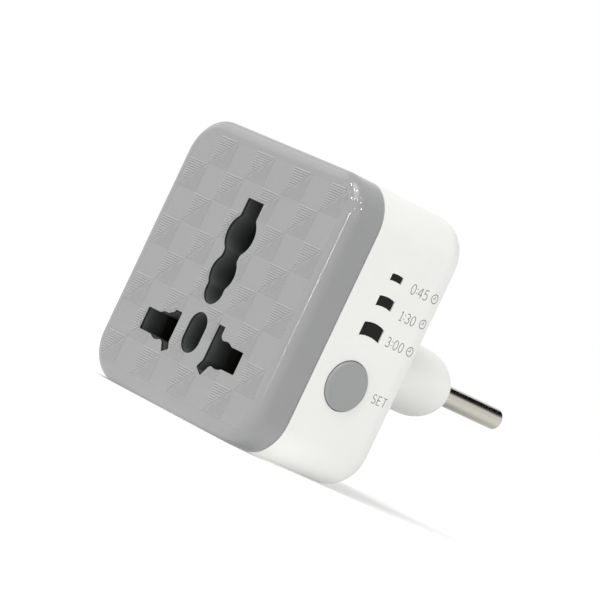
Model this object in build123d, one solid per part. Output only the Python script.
from build123d import *
import math
import os

# A cube-shaped plug-in adaptor: a universal mains socket in a grey front cover, a countdown timer
# with three indicator windows and a button in the right side of the white housing, and a flat
# two-pin plug behind. Inside are the surge protector, the timer's supply and its relay.
# Sizes are in millimetres. Every piece is drawn from the centre of the socket face: x to the right
# seen from the front, y back towards the wall, z up. Saving moves the pieces so that the origin
# is the centre of the plug's end face, between the pins.

# Case
case_width = 50.5
case_height = 50.5
case_depth = 28.4
case_corner_radius = 7.6
case_wall = 2.0
rear_edge_radius = 4.5

# Grey front cover, from the socket face to the seam
cover_depth = 7.0
cover_face = 2.0
cover_edge_radius = 2.2
seam_width = 0.3
seam_inset = 0.3
lip_thickness = 1.1
lip_length = 2.0
lip_clearance = 0.1

# Plug: a flat nose with rounded ends, below the middle of the case, and two round pins
nose_width = 34.5
nose_height = 12.6
nose_length = 16.5
nose_end_length = 10.1
nose_edge_radius = 1.5
nose_drop = 2.5
nose_wall = 2.2
nose_boss_diameter = 4.6
nose_pilot_skin = 1.0
pin_diameter = 4.0
pin_length = 19.0
pin_spacing = 19.0
pin_tip_round = 0.8
pin_neck_diameter = 4.6
pin_clearance = 0.05
pin_flange_diameter = 6.6
pin_flange_thickness = 1.5
pin_tail_diameter = 2.6
pin_tail_proud = 0.6
retainer_thickness = 2.0
retainer_clearance = 0.2
bar_width = 3.0
bar_thickness = 1.0
bar_foot_width = 6.0
bar_drop = 3.1

# Socket slots, measured from the centre of the socket face
line_height = -12.5
blade_slot_offset = 6.35
blade_slot_width = 1.9
left_blade_rise = 3.7
right_blade_rise = 4.7
flat_slot_end = 14.75
flat_slot_height = 4.2
round_hole_offset = 9.5
round_hole_diameter = 5.2
slant_length = 7.0
slant_angle = 30.0
slant_foot_offset = 5.5
left_slant_width = 1.9
left_slant_drop = 3.6
right_slant_width = 2.3
right_slant_drop = 4.1
earth_top = 14.15
earth_half_width = 2.35
earth_upper_height = 7.6
earth_upper_diameter = 7.9
earth_middle_height = 0.4
earth_middle_diameter = 7.0
earth_foot_height = -2.9
earth_foot_diameter = 5.2
centre_hole_height = -11.0
centre_hole_length = 7.6
centre_hole_width = 5.0
slot_inner_round = 1.0
slot_outer_round = 0.25
slot_lip = 0.5

# Black contact carrier behind the slots
carrier_wall = 1.5
carrier_board_gap = 0.3
carrier_clearance = 0.1
contact_retainer_thickness = 1.3
carrier_front_wall = 4.5
chamber_clearance = 0.2
chamber_height = 7.4
post_notch = 0.2

# Sprung socket contacts
contact_thickness = 0.6
contact_throat = 4.0
contact_mouth = 6.0
contact_throat_depth = 5.0
contact_throat_run = 2.0
contact_rear_run = 3.0
contact_mouth_setback = 1.2
contact_tab_width = 3.0

# Timer controls in the right side
control_depth = 14.9
window_height_places = (12.1, 7.5, 2.05)
window_widths = (2.75, 3.75, 4.85)
window_side_heights = (1.25, 1.85, 2.5)
window_arc_radius = 7.2
guide_plate = 1.0
guide_margin = 1.6
guide_recess = 0.2
guide_clearance = 0.1
guide_corner_radius = 0.8
button_height = -8.05
button_diameter = 8.9
button_clearance = 0.15
button_proud = 0.5
button_edge_round = 0.45
button_flange_diameter = 10.8
button_flange_thickness = 0.5
button_flange_clearance = 0.1
button_travel = 0.4

# Key switch under the button
switch_size = 6.0
switch_height = 3.5
switch_plate_thickness = 0.3
switch_corner_radius = 0.4
plunger_diameter = 3.4
plunger_clearance = 0.1
plunger_depth = 1.4
plunger_margin = 0.2

# Circuit boards
board_thickness = 1.6
board_edge_clearance = 1.75
board_notch = 8.7
ledge_depth = 0.6
ledge_width = 2.0
ledge_edge_gap = 2.0
ledge_end_gap = 1.0
timer_board_thickness = 1.2
timer_board_height = 26.0
timer_board_front = 10.0
lamp_length = 2.0
lamp_width = 1.25
lamp_thickness = 0.8
lamp_lens_diameter = 1.05
lamp_gap = 0.3

# Screws and posts
post_inset = 6.85
post_diameter = 5.8
boss_diameter = 5.6
post_seat_thickness = 6.4
screw_diameter = 2.2
screw_length = 10.0
screw_pilot_diameter = 2.4
screw_hole_diameter = 2.6
screw_head_diameter = 4.2
screw_head_height = 1.5
screw_head_round = 0.5
pilot_depth = 6.0
head_hole_diameter = 4.6
head_seat_depth = 8.0
retainer_screw_length = 4.5

# Places that follow from the sizes
side = case_width / 2
side_inner = side - case_wall
top_inner = case_height / 2 - case_wall
rear_inner = case_depth - case_wall
nose_end = case_depth + nose_length
nose_inner = nose_end - nose_wall
pin_flange_front = nose_inner - pin_flange_thickness
retainer_front = pin_flange_front - retainer_thickness
bar_front = retainer_front - bar_thickness
board_rear = rear_inner - ledge_depth
board_front = board_rear - board_thickness
board_width = 2 * (side_inner - board_edge_clearance)
board_height = 2 * (top_inner - board_edge_clearance)
carrier_depth = board_front - contact_retainer_thickness
post_split = case_depth - head_seat_depth - post_seat_thickness
flange_outer = side_inner - button_flange_clearance
flange_inner = flange_outer - button_flange_thickness
plunger_proud = button_travel + plunger_margin
switch_top = flange_inner - plunger_proud
timer_board_outer = switch_top - switch_height
timer_board_inner = timer_board_outer - timer_board_thickness
carrier_half_width = timer_board_inner - carrier_board_gap


def across(sketch, start, end):
    """Extrude a sketch drawn in x and z from the depth start to the depth end."""
    return extrude(Plane.XZ.offset(-end) * sketch, amount=end - start)


def sideways(sketch, start, end):
    """Extrude a sketch drawn in y and z from x = start to x = end."""
    return extrude(Plane.YZ.offset(start) * sketch, amount=end - start)


def upward(sketch, start, end):
    """Extrude a sketch drawn in x and y from z = start to z = end."""
    return extrude(Plane.XY.offset(start) * sketch, amount=end - start)


def rod(x, z, diameter, start, end):
    """A round bar along y, centred on x and z."""
    return across(Pos(x, z) * Circle(diameter / 2), start, end)


def block(x, y, z):
    """A box from its low and high limits along each axis."""
    low = (x[0], y[0], z[0])
    size = (x[1] - x[0], y[1] - y[0], z[1] - z[0])
    return Pos(*low) * Box(*size, align=(Align.MIN, Align.MIN, Align.MIN))


def posts():
    """The four places of the posts, as (x, z)."""
    x = case_width / 2 - post_inset
    z = case_height / 2 - post_inset
    return [(-x, -z), (-x, z), (x, -z), (x, z)]


def ends(part, axis, index):
    """The edges of a part that lie furthest along an axis, or least far with index 0."""
    return part.edges().group_by(axis)[index]


def case_outline(inset=0.0):
    """The case seen from the front, drawn in by an inset."""
    radius = case_corner_radius - inset
    return RectangleRounded(case_width - 2 * inset, case_height - 2 * inset, radius)


def nose_outline(inset=0.0):
    """The plug's nose seen from behind: a flat middle between two half ellipses."""
    flat = nose_width - 2 * nose_end_length
    half = nose_height / 2 - inset
    outline = Rectangle(flat, 2 * half)
    for x in (-flat / 2, flat / 2):
        outline += Pos(x, 0) * Ellipse(nose_end_length - inset, half)
    return Pos(0, -nose_drop) * outline


def line_slot(hand, blade_rise, slant_width, slant_drop):
    """One current-carrying slot: hand is -1 for the left one and 1 for the right one."""
    flat_start = blade_slot_offset - blade_slot_width / 2
    flat_length = flat_slot_end - flat_start
    flat = Pos(hand * (flat_start + flat_length / 2), 0) * Rectangle(flat_length, flat_slot_height)
    blade = Pos(hand * blade_slot_offset, blade_rise / 2) * Rectangle(blade_slot_width, blade_rise)
    hole = Pos(hand * round_hole_offset, 0) * Circle(round_hole_diameter / 2)
    slant = Rectangle(slant_width, slant_length, align=(Align.CENTER, Align.MIN))
    slant = Pos(hand * slant_foot_offset, -slant_drop) * Rot(0, 0, -hand * slant_angle) * slant
    return Pos(0, line_height) * (flat + blade + hole + slant)


def earth_slot():
    """The long upper slot, with a swelling for each kind of round earth pin."""
    length = earth_top - earth_foot_height
    middle = (earth_top + earth_foot_height) / 2
    slot = Pos(0, middle) * Rectangle(2 * earth_half_width, length)
    slot += Pos(0, earth_upper_height) * Circle(earth_upper_diameter / 2)
    slot += Pos(0, earth_middle_height) * Circle(earth_middle_diameter / 2)
    slot += Pos(0, earth_foot_height) * Circle(earth_foot_diameter / 2)
    return slot


def softened(sketch):
    """Round a slot's corners, widely where they point inward and slightly where they point outward."""
    filled = offset(offset(sketch, slot_inner_round), -slot_inner_round)
    return offset(offset(filled, -slot_outer_round), slot_outer_round)


def socket_slots():
    """All four openings of the socket."""
    slots = softened(line_slot(-1, left_blade_rise, left_slant_width, left_slant_drop))
    slots += softened(line_slot(1, right_blade_rise, right_slant_width, right_slant_drop))
    slots += softened(earth_slot())
    centre = SlotOverall(centre_hole_length, centre_hole_width, rotation=90)
    return slots + Pos(0, centre_hole_height) * centre


chamber_inner = blade_slot_offset - blade_slot_width / 2 - chamber_clearance
chamber_outer = carrier_half_width - carrier_wall
carrier_top = earth_top + carrier_wall
carrier_shoulder = line_height + right_blade_rise + carrier_wall
carrier_bottom = line_height - chamber_height / 2 - carrier_wall
carrier_column = earth_upper_diameter / 2 + carrier_wall


def carrier_outline(grow=0.0):
    """The carrier seen from the front: a wide foot round the contacts, a column round the earth slot."""
    foot_height = carrier_shoulder - carrier_bottom
    foot = Pos(0, (carrier_shoulder + carrier_bottom) / 2)
    foot *= Rectangle(2 * carrier_half_width + 2 * grow, foot_height + 2 * grow)
    column_height = carrier_top - carrier_bottom
    column = Pos(0, (carrier_top + carrier_bottom) / 2)
    column *= Rectangle(2 * carrier_column + 2 * grow, column_height + 2 * grow)
    outline = foot + column
    for x, z in posts():
        outline -= Pos(x, z) * Circle(post_diameter / 2 + post_notch - grow)
    return outline


def window(width, side_height, grow=0.0):
    """One indicator window in y and z: upright sides, with top and bottom arched the same way."""
    half = width / 2 + grow
    low = -side_height / 2 - grow
    high = side_height / 2 + grow
    rise = window_arc_radius - math.sqrt(window_arc_radius**2 - half**2)
    top = ThreePointArc((-half, high), (0, high + rise), (half, high))
    bottom = ThreePointArc((half, low), (0, low + rise), (-half, low))
    right = Line((half, high), (half, low))
    left = Line((-half, low), (-half, high))
    return make_face(Curve() + [top, right, bottom, left])


def windows(grow=0.0):
    """The three windows, each at its place in the side."""
    shapes = Sketch()
    for height, width, side_height in zip(window_height_places, window_widths, window_side_heights):
        shapes += Pos(control_depth, height) * window(width, side_height, grow)
    return shapes


def front_cover():
    """The grey cover: face, skirt, locating lip, slots and four screw bosses."""
    cover = across(case_outline(), 0, cover_depth)
    cover = fillet(ends(cover, Axis.Y, 0), cover_edge_radius)
    seam = case_outline() - case_outline(seam_inset)
    cover -= across(seam, cover_depth - seam_width, cover_depth)
    lip_inset = case_wall + lip_clearance
    cover += across(case_outline(lip_inset), cover_depth, cover_depth + lip_length)
    hollow_inset = lip_inset + lip_thickness
    cover -= across(case_outline(hollow_inset), cover_face, cover_depth + lip_length)
    for x, z in posts():
        cover += rod(x, z, boss_diameter, cover_face, post_split)
        cover -= rod(x, z, screw_pilot_diameter, post_split - pilot_depth, post_split)
    cover -= across(carrier_outline(carrier_clearance), slot_lip, cover_face)
    return cover - across(socket_slots(), 0, slot_lip)


def rear_housing():
    """The white housing with the plug's nose, the posts, the windows and the button's hole."""
    shell = across(case_outline(), cover_depth, case_depth)
    shell = fillet(ends(shell, Axis.Y, -1), rear_edge_radius)
    hollow = across(case_outline(case_wall), cover_depth, rear_inner)
    hollow = fillet(ends(hollow, Axis.Y, -1), rear_edge_radius - case_wall)
    nose = across(nose_outline(), rear_inner, nose_end)
    nose = fillet(ends(nose, Axis.Y, -1), nose_edge_radius)
    housing = shell - hollow + nose
    housing -= across(nose_outline(nose_wall), rear_inner, nose_inner)
    housing += rod(0, -nose_drop, nose_boss_diameter, pin_flange_front, nose_inner)
    pilot_end = nose_end - nose_pilot_skin
    housing -= rod(0, -nose_drop, screw_pilot_diameter, pin_flange_front, pilot_end)
    pin_hole = pin_neck_diameter + 2 * pin_clearance
    for x in (-pin_spacing / 2, pin_spacing / 2):
        housing -= rod(x, -nose_drop, pin_hole, nose_inner, nose_end)
    for x, z in posts():
        housing += rod(x, z, post_diameter, post_split, rear_inner)
        housing -= rod(x, z, screw_hole_diameter, post_split, case_depth)
        housing -= rod(x, z, head_hole_diameter, case_depth - head_seat_depth, case_depth)
    ledge_half = board_width / 2 - board_notch - ledge_end_gap
    ledge_place = board_height / 2 - ledge_edge_gap - ledge_width / 2
    for z in (-ledge_place, ledge_place):
        ledge = Pos(0, z) * Rectangle(2 * ledge_half, ledge_width)
        housing += across(ledge, board_rear, rear_inner)
    housing -= sideways(windows(), side_inner, side)
    hole = Pos(control_depth, button_height) * Circle(button_diameter / 2 + button_clearance)
    return housing - sideways(hole, side_inner, side)


def contact_carrier():
    """The black moulding that lines the slots and holds the contacts in two chambers.

    An arm on its right side backs the timer board behind the key switch.
    """
    carrier = across(carrier_outline(), slot_lip, carrier_depth)
    carrier -= across(socket_slots(), slot_lip, carrier_depth)
    width = chamber_outer - chamber_inner
    for hand in (-1, 1):
        chamber = Pos(hand * (chamber_inner + width / 2), line_height)
        chamber *= Rectangle(width, chamber_height)
        carrier -= across(chamber, slot_lip + carrier_front_wall, carrier_depth)
    stop = switch_size / 2
    carrier += block(
        (carrier_half_width, timer_board_inner),
        (control_depth - stop, control_depth + stop),
        (button_height - stop, button_height - stop / 2),
    )
    return carrier


def contact(hand):
    """One socket contact: two bowed leaves on a rear plate, bent up from one brass strip."""
    back = carrier_depth
    plate_front = back - contact_thickness
    mouth = slot_lip + carrier_front_wall + contact_mouth_setback
    throat = mouth + contact_throat_depth
    throat_start = throat - contact_throat_run / 2
    throat_end = throat + contact_throat_run / 2
    half_throat = contact_throat / 2
    half_back = chamber_height / 2 - chamber_clearance
    leaf = Polyline(
        (mouth, contact_mouth / 2),
        (throat_start, half_throat),
        (throat_end, half_throat),
        (back - contact_rear_run, half_back - contact_thickness),
        (plate_front, half_back - contact_thickness),
    )
    outer = Polyline(
        (plate_front, half_back),
        (back - contact_rear_run, half_back),
        (throat_end, half_throat + contact_thickness),
        (throat_start, half_throat + contact_thickness),
        (mouth, contact_mouth / 2 + contact_thickness),
    )
    join = [Line(leaf @ 1, outer @ 0), Line(outer @ 1, leaf @ 0)]
    upper = make_face(Curve() + [leaf, outer] + join)
    lower = mirror(upper, Plane.XZ)
    plate = Pos(back - contact_thickness / 2, 0) * Rectangle(contact_thickness, 2 * half_back)
    middle = hand * (chamber_inner + chamber_outer) / 2
    half_length = (chamber_outer - chamber_inner) / 2 - chamber_clearance
    profile = Pos(0, line_height) * (upper + lower + plate)
    strip = sideways(profile, middle - half_length, middle + half_length)
    tab_half = contact_tab_width / 2
    tab = block(
        (middle - tab_half, middle + tab_half),
        (back, board_front),
        (line_height - contact_thickness / 2, line_height + contact_thickness / 2),
    )
    return strip + tab


def contact_retainer():
    """The plate that closes the carrier and bears on the board, with a slit for each tab."""
    plate = across(carrier_outline(), carrier_depth, board_front)
    slit_width = contact_tab_width + 2 * carrier_clearance
    slit_height = contact_thickness + 2 * carrier_clearance
    for hand in (-1, 1):
        slit = Pos(hand * (chamber_inner + chamber_outer) / 2, line_height)
        slit *= Rectangle(slit_width, slit_height)
        plate -= across(slit, carrier_depth, board_front)
    return plate


def plug_pin(hand):
    """A solid round pin with a domed tip, a neck and flange in the nose, and a riveted tail."""
    x = hand * pin_spacing / 2
    shaft = rod(x, -nose_drop, pin_diameter, nose_end, nose_end + pin_length)
    shaft = fillet(ends(shaft, Axis.Y, -1), pin_tip_round)
    neck = rod(x, -nose_drop, pin_neck_diameter, nose_inner, nose_end)
    flange = rod(x, -nose_drop, pin_flange_diameter, pin_flange_front, nose_inner)
    tail = rod(x, -nose_drop, pin_tail_diameter, bar_front - pin_tail_proud, pin_flange_front)
    return shaft + neck + flange + tail


def pin_retainer():
    """The oval plate that presses both pin flanges against the end of the nose."""
    plate = across(nose_outline(nose_wall + retainer_clearance), retainer_front, pin_flange_front)
    tail_hole = pin_tail_diameter + 2 * pin_clearance
    for x in (-pin_spacing / 2, pin_spacing / 2):
        plate -= rod(x, -nose_drop, tail_hole, retainer_front, pin_flange_front)
    return plate - rod(0, -nose_drop, screw_hole_diameter, retainer_front, pin_flange_front)


def supply_bar(hand):
    """A brass bar from a pin's tail forward to the rear of the board."""
    x = hand * pin_spacing / 2
    foot = Pos(x, -nose_drop) * Rectangle(bar_foot_width, bar_foot_width)
    foot = across(foot, bar_front, retainer_front)
    tail_hole = pin_tail_diameter + 2 * pin_clearance
    foot -= rod(x, -nose_drop, tail_hole, bar_front, retainer_front)
    low = -nose_drop - bar_drop
    arm_end = x - hand * (bar_foot_width / 2 - bar_width)
    arm_x = sorted((x - hand * bar_foot_width / 2, arm_end))
    arm = block(arm_x, (board_rear, bar_front), (low, low + bar_thickness))
    return foot + arm


def screw(x, z, head_seat, length, towards_front=True):
    """A pan-head screw along y, its head bearing at head_seat."""
    step = -1 if towards_front else 1
    shank_limits = sorted((head_seat, head_seat + step * length))
    head_limits = sorted((head_seat, head_seat - step * screw_head_height))
    head = rod(x, z, screw_head_diameter, *head_limits)
    crown = -1 if towards_front else 0
    head = fillet(ends(head, Axis.Y, crown), screw_head_round)
    return head + rod(x, z, screw_diameter, *shank_limits)


def case_screws():
    """The four screws that draw the housing onto the cover."""
    seat = case_depth - head_seat_depth
    return Compound([screw(x, z, seat, screw_length) for x, z in posts()])


def light_guide():
    """One smoked moulding: a plate behind the wall, a pad in each window, a post to each lamp."""
    top = window_height_places[0] + window_side_heights[0] / 2 + guide_margin / 2
    bottom = window_height_places[2] - window_side_heights[2] / 2 - guide_margin / 2
    width = window_widths[2] + guide_margin
    plate = Pos(control_depth, (top + bottom) / 2)
    plate *= RectangleRounded(width, top - bottom, guide_corner_radius)
    guide = sideways(plate, side_inner - guide_plate, side_inner)
    guide += sideways(windows(-guide_clearance), side_inner, side - guide_recess)
    post_end = timer_board_outer + lamp_thickness + lamp_gap
    for height in window_height_places:
        post = Pos(control_depth, height) * Rectangle(lamp_length, lamp_width)
        guide += sideways(post, post_end, side_inner - guide_plate)
    return guide


def set_button():
    """The round key: a cap with a soft edge and a flange that keeps it in the wall."""
    place = Pos(control_depth, button_height)
    cap = sideways(place * Circle(button_diameter / 2), flange_outer, side + button_proud)
    cap = fillet(ends(cap, Axis.X, -1), button_edge_round)
    flange = sideways(place * Circle(button_flange_diameter / 2), flange_inner, flange_outer)
    return cap + flange


def switch_body():
    """The key switch's square body, with the bore that its plunger slides in."""
    place = Pos(control_depth, button_height)
    body_top = switch_top - switch_plate_thickness
    square = place * RectangleRounded(switch_size, switch_size, switch_corner_radius)
    body = sideways(square, timer_board_outer, body_top)
    bore = place * Circle(plunger_diameter / 2 + plunger_clearance)
    bore_floor = switch_top - plunger_depth - button_travel - plunger_margin
    return body - sideways(bore, bore_floor, body_top)


def switch_plate():
    """The steel plate clipped over the key switch."""
    place = Pos(control_depth, button_height)
    plate = RectangleRounded(switch_size, switch_size, switch_corner_radius)
    plate -= Circle(plunger_diameter / 2 + plunger_clearance)
    return sideways(place * plate, switch_top - switch_plate_thickness, switch_top)


def switch_plunger():
    """The key switch's plunger, which the button bears on."""
    stem = Pos(control_depth, button_height) * Circle(plunger_diameter / 2)
    return sideways(stem, switch_top - plunger_depth, flange_inner)


def power_board():
    """The main board: a square with its corners cut away for the posts."""
    board = Rectangle(board_width, board_height)
    place = board_width / 2 - board_notch / 2
    rise = board_height / 2 - board_notch / 2
    for x in (-place, place):
        for z in (-rise, rise):
            board -= Pos(x, z) * Rectangle(board_notch, board_notch)
    return across(board, board_front, board_rear)


def timer_board():
    """The upright board that carries the lamps and the key switch."""
    half = timer_board_height / 2
    board = Pos((timer_board_front + board_front) / 2, 0)
    board *= Rectangle(board_front - timer_board_front, 2 * half)
    return sideways(board, timer_board_inner, timer_board_outer)


def lamp(index):
    """A surface-mounted lamp with a small lens, behind one of the windows."""
    place = Pos(control_depth, window_height_places[index])
    middle = timer_board_outer + lamp_thickness / 2
    top = timer_board_outer + lamp_thickness
    body = sideways(place * Rectangle(lamp_length, lamp_width), timer_board_outer, middle)
    return body + sideways(place * Circle(lamp_lens_diameter / 2), middle, top)


# Relay, standing on the main board with its coil upright
relay_x = -13.0
relay_z = 4.0
relay_width = 10.1
relay_length = 17.4
relay_height = 12.3
relay_base_thickness = 1.6
relay_wall = 0.7
relay_corner_radius = 1.0
relay_frame_gap = 0.2
relay_coil_gap = 0.1
relay_coil_depth = 6.6
relay_coil_length = 11.0
relay_coil_diameter = 6.6
relay_winding_diameter = 5.4
relay_flange_thickness = 0.7
relay_core_diameter = 2.6
relay_pole_diameter = 4.4
relay_pole_height = 0.8
relay_plate = 1.0
relay_frame_width = 6.4
relay_stroke_degrees = 4.5
relay_contact_diameter = 1.8
relay_contact_depth = 2.9
relay_moving_rivet = 0.6
relay_fixed_rivet = 0.4
relay_spring_start = 1.0
relay_spring_thickness = 0.3
relay_spring_width = 2.4
relay_play = 0.1

relay_bottom = board_front - relay_base_thickness
relay_coil_y = board_front - relay_coil_depth
relay_coil_low = relay_z - relay_length / 2 + relay_wall + relay_frame_gap + relay_plate
relay_coil_high = relay_coil_low + relay_coil_length
relay_pole_z = relay_coil_high + relay_pole_height
relay_arm_y = relay_coil_y - relay_coil_diameter / 2 - relay_plate - relay_coil_gap
relay_hinge_y = relay_arm_y + relay_plate / 2
relay_stroke = math.sin(math.radians(relay_stroke_degrees))
relay_pole_reach = relay_coil_y + relay_pole_diameter / 2 - relay_hinge_y
relay_armature_z = relay_pole_z + relay_pole_reach * relay_stroke + relay_play
relay_hinge_z = relay_armature_z - relay_play
relay_contact_y = board_front - relay_contact_depth
relay_contact_reach = relay_contact_y + relay_contact_diameter / 2 - relay_hinge_y
relay_contact_gap = relay_contact_reach * relay_stroke + relay_play


def relay_outline(inset=0.0):
    """The relay seen along y, with softened corners."""
    radius = relay_corner_radius - inset
    outline = RectangleRounded(relay_width - 2 * inset, relay_length - 2 * inset, radius)
    return Pos(relay_x, relay_z) * outline


def relay_upright(diameter, low, high, y):
    """A round bar along z in the middle of the relay."""
    return upward(Pos(relay_x, y) * Circle(diameter / 2), low, high)


def relay_base():
    """The relay's base plate."""
    return across(relay_outline(), relay_bottom, board_front)


def relay_case():
    """The relay's cover, open towards its base."""
    top = board_front - relay_height
    cover = across(relay_outline(), top, relay_bottom)
    return cover - across(relay_outline(relay_wall), top + relay_wall, relay_bottom)


def relay_frame():
    """The iron frame: a foot below the coil, an arm along it, and the core with its pole."""
    half = relay_frame_width / 2
    limits = (relay_x - half, relay_x + half)
    foot_low = relay_coil_low - relay_plate
    foot = block(limits, (relay_arm_y, relay_bottom), (foot_low, relay_coil_low))
    arm = block(limits, (relay_arm_y, relay_arm_y + relay_plate), (foot_low, relay_hinge_z))
    core = relay_upright(relay_core_diameter, relay_coil_low, relay_pole_z, relay_coil_y)
    pole = relay_upright(relay_pole_diameter, relay_coil_high, relay_pole_z, relay_coil_y)
    return foot + arm + core + pole


def relay_coil():
    """The bobbin and its winding, with a bore for the core."""
    coil = relay_upright(relay_winding_diameter, relay_coil_low, relay_coil_high, relay_coil_y)
    for low in (relay_coil_low, relay_coil_high - relay_flange_thickness):
        coil += relay_upright(relay_coil_diameter, low, low + relay_flange_thickness, relay_coil_y)
    bore = relay_core_diameter + 2 * pin_clearance
    return coil - relay_upright(bore, relay_coil_low, relay_coil_high, relay_coil_y)


def relay_armature():
    """The iron plate that rocks on the end of the frame's arm and closes onto the pole."""
    half = relay_frame_width / 2
    reach = relay_coil_y + relay_pole_diameter / 2
    plate_z = (relay_armature_z, relay_armature_z + relay_plate)
    return block((relay_x - half, relay_x + half), (relay_arm_y, reach), plate_z)


def relay_moving_contact():
    """The spring on the armature's back, with its contact rivet."""
    low = relay_armature_z + relay_plate
    half = relay_spring_width / 2
    end = relay_contact_y + relay_contact_diameter / 2
    limits = (relay_x - half, relay_x + half)
    start = relay_hinge_y + relay_spring_start
    strip = block(limits, (start, end), (low, low + relay_spring_thickness))
    rivet_low = low - relay_moving_rivet
    rivet = relay_upright(relay_contact_diameter, rivet_low, low, relay_contact_y)
    return strip + rivet


def relay_fixed_contact():
    """The terminal that rises from the base, with the rivet that the spring closes onto."""
    top = relay_armature_z + relay_plate - relay_moving_rivet - relay_contact_gap
    low = top - relay_fixed_rivet
    half = relay_spring_width / 2
    limits = (relay_x - half, relay_x + half)
    start = relay_contact_y - relay_contact_diameter / 2
    strip = block(limits, (start, relay_bottom), (low - relay_spring_thickness, low))
    rivet = relay_upright(relay_contact_diameter, low, top, relay_contact_y)
    return strip + rivet


# Other parts of the main board
varistor_diameter = 12.0
varistor_thickness = 4.0
varistor_z = (carrier_top + top_inner) / 2
varistor_lead = 1.2
varistor_lead_spacing = 6.0
varistor_edge_round = 1.3
lead_diameter = 0.8
film_size = (5.0, 11.0, 12.6)
film_corner_radius = 0.5
film_column_gap = 1.95
film_x = carrier_column + film_column_gap + film_size[0] / 2
film_z = 8.7
can_diameter = 8.0
can_height = 11.5
can_edge_round = 0.5
can_groove_depth = 0.4
can_groove_width = 0.8
can_groove_height = 1.8
can_board_gap = 0.6
can_x = timer_board_inner - can_board_gap - can_diameter / 2
can_z = -2.0
bridge_size = (4.7, 2.5, 4.0)
bridge_x = 9.5
bridge_z = varistor_z
axial_z = (carrier_bottom - top_inner) / 2
axial_lift = 2.6
axial_edge_round = 0.5
axial_lead_reach = 1.2
resistor_diameter = 2.6
resistor_length = 8.0
resistor_x = -6.5
fuse_diameter = 2.6
fuse_length = 9.0
fuse_x = 6.0
chip_size = (1.5, 5.0, 6.2)
chip_depth = 16.0
chip_z = 7.6
header_width = 2.5
header_length = 15.0


def varistor():
    """The surge absorber: a coated disc standing on two leads."""
    low = varistor_z - varistor_thickness / 2
    centre_y = board_front - varistor_lead - varistor_diameter / 2
    disc = upward(Pos(0, centre_y) * Circle(varistor_diameter / 2), low, low + varistor_thickness)
    disc = fillet(disc.edges().filter_by(GeomType.CIRCLE), varistor_edge_round)
    for x in (-varistor_lead_spacing / 2, varistor_lead_spacing / 2):
        disc += rod(x, varistor_z, lead_diameter, centre_y, board_front)
    return disc


def film_capacitor():
    """The box-shaped film capacitor that drops the mains voltage."""
    width, height, length = film_size
    place = Pos(film_x, film_z) * RectangleRounded(width, length, film_corner_radius)
    return across(place, board_front - height, board_front)


def electrolytic_capacitor():
    """The smoothing capacitor: a can with a groove near its foot."""
    can = rod(can_x, can_z, can_diameter, board_front - can_height, board_front)
    can = fillet(ends(can, Axis.Y, 0), can_edge_round)
    groove = Circle(can_diameter / 2) - Circle(can_diameter / 2 - can_groove_depth)
    groove_rear = board_front - can_groove_height
    return can - across(Pos(can_x, can_z) * groove, groove_rear - can_groove_width, groove_rear)


def bridge_rectifier():
    """The small four-legged rectifier."""
    width, height, length = bridge_size
    place = Pos(bridge_x, bridge_z) * Rectangle(width, length)
    return across(place, board_front - height, board_front)


def axial_part(x, diameter, length):
    """A part lying along x, its two leads bent down to the board."""
    centre_y = board_front - axial_lift
    body = sideways(Pos(centre_y, axial_z) * Circle(diameter / 2), x - length / 2, x + length / 2)
    body = fillet(body.edges().filter_by(GeomType.CIRCLE), axial_edge_round)
    lead_reach = length / 2 + axial_lead_reach
    wire = Circle(lead_diameter / 2)
    body += sideways(Pos(centre_y, axial_z) * wire, x - lead_reach, x + lead_reach)
    for foot in (x - lead_reach, x + lead_reach):
        body += rod(foot, axial_z, lead_diameter, centre_y - lead_diameter / 2, board_front)
    return body


def dropper_resistor():
    """The flameproof resistor in series with the film capacitor."""
    return axial_part(resistor_x, resistor_diameter, resistor_length)


def thermal_fuse():
    """The fuse that opens when the varistor overheats."""
    return axial_part(fuse_x, fuse_diameter, fuse_length)


def microcontroller():
    """The timer's chip, flat on the inner side of the upright board."""
    thickness, width, length = chip_size
    place = Pos(chip_depth, chip_z) * Rectangle(width, length)
    return sideways(place, timer_board_inner - thickness, timer_board_inner)


def link_header():
    """The pin header in the corner between the two boards."""
    place = Pos(board_front - header_width / 2, 0) * Rectangle(header_width, header_length)
    return sideways(place, timer_board_outer, timer_board_outer + header_width)


pieces = {
    "front_cover": front_cover(),
    "rear_housing": rear_housing(),
    "contact_carrier": contact_carrier(),
    "contact_retainer": contact_retainer(),
    "contact_left": contact(-1),
    "contact_right": contact(1),
    "pin_left": plug_pin(-1),
    "pin_right": plug_pin(1),
    "pin_retainer": pin_retainer(),
    "retainer_screw": screw(0, -nose_drop, retainer_front, retainer_screw_length, False),
    "supply_bar_left": supply_bar(-1),
    "supply_bar_right": supply_bar(1),
    "case_screws": case_screws(),
    "light_guide": light_guide(),
    "set_button": set_button(),
    "switch_body": switch_body(),
    "switch_plate": switch_plate(),
    "switch_plunger": switch_plunger(),
    "power_board": power_board(),
    "timer_board": timer_board(),
    "led_0_45": lamp(0),
    "led_1_30": lamp(1),
    "led_3_00": lamp(2),
    "microcontroller": microcontroller(),
    "link_header": link_header(),
    "relay_base": relay_base(),
    "relay_case": relay_case(),
    "relay_frame": relay_frame(),
    "relay_coil": relay_coil(),
    "relay_armature": relay_armature(),
    "relay_moving_contact": relay_moving_contact(),
    "relay_fixed_contact": relay_fixed_contact(),
    "varistor": varistor(),
    "thermal_fuse": thermal_fuse(),
    "dropper_resistor": dropper_resistor(),
    "film_capacitor": film_capacitor(),
    "electrolytic_capacitor": electrolytic_capacitor(),
    "bridge_rectifier": bridge_rectifier(),
}

to_plug_face = Pos(0, -nose_end, nose_drop)
os.makedirs("parts", exist_ok=True)
for name, piece in pieces.items():
    export_step(to_plug_face * piece, f"parts/{name}.step")
